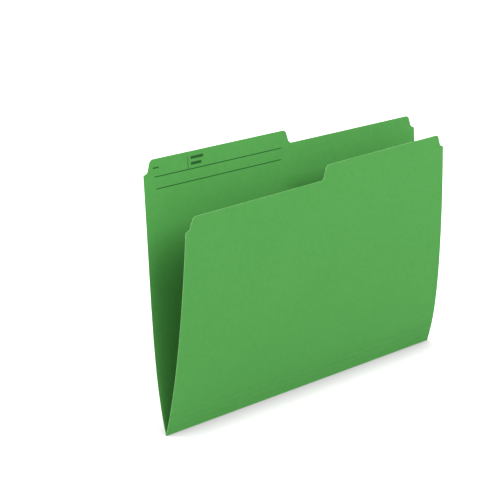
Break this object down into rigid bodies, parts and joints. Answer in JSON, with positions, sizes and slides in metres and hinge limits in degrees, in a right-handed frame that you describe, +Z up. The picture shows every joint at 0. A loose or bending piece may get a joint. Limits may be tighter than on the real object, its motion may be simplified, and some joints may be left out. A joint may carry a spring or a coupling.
{
  "type": "file folder",
  "caption": "Thin card file folder standing half open on its fold, with a tall back leaf with a half-width tab, a shorter front leaf and scored strips that let the bottom widen.",
  "frame": {"origin": "middle of the folder's length, on the flat underside of the main fold, which is the surface it stands on", "axes": "+X along the fold towards the end away from the tab, +Y towards the back leaf, +Z up"},
  "size_m": [0.3746, 0.0509, 0.2401],
  "materials": {
    "green_card": "smooth uncoated card, dyed green through, matte"
  },
  "bodies": {
    "back": {"back_leaf": "green_card", "fold_ridge": "green_card"},
    "strip_1": {"fold_strip_1": "green_card"},
    "strip_2": {"fold_strip_2": "green_card"},
    "strip_3": {"fold_strip_3": "green_card"},
    "front": {"front_leaf": "green_card"}
  },
  "joints": [
    {"name": "main_fold", "type": "hinge", "parent": "back", "child": "strip_1", "pos_m": [0, 0, 0.0005], "axis": [1, 0, 0], "range_deg": [-8, 250]},
    {"name": "score_1", "type": "hinge", "parent": "strip_1", "child": "strip_2", "pos_m": [0, -0.00179, 0.00659], "axis": [1, 0, 0], "range_deg": [0, 30]},
    {"name": "score_2", "type": "hinge", "parent": "strip_2", "child": "strip_3", "pos_m": [0, -0.0034, 0.01273], "axis": [1, 0, 0], "range_deg": [0, 30]},
    {"name": "score_3", "type": "hinge", "parent": "strip_3", "child": "front", "pos_m": [0, -0.00484, 0.01892], "axis": [1, 0, 0], "range_deg": [0, 30]}
  ]
}
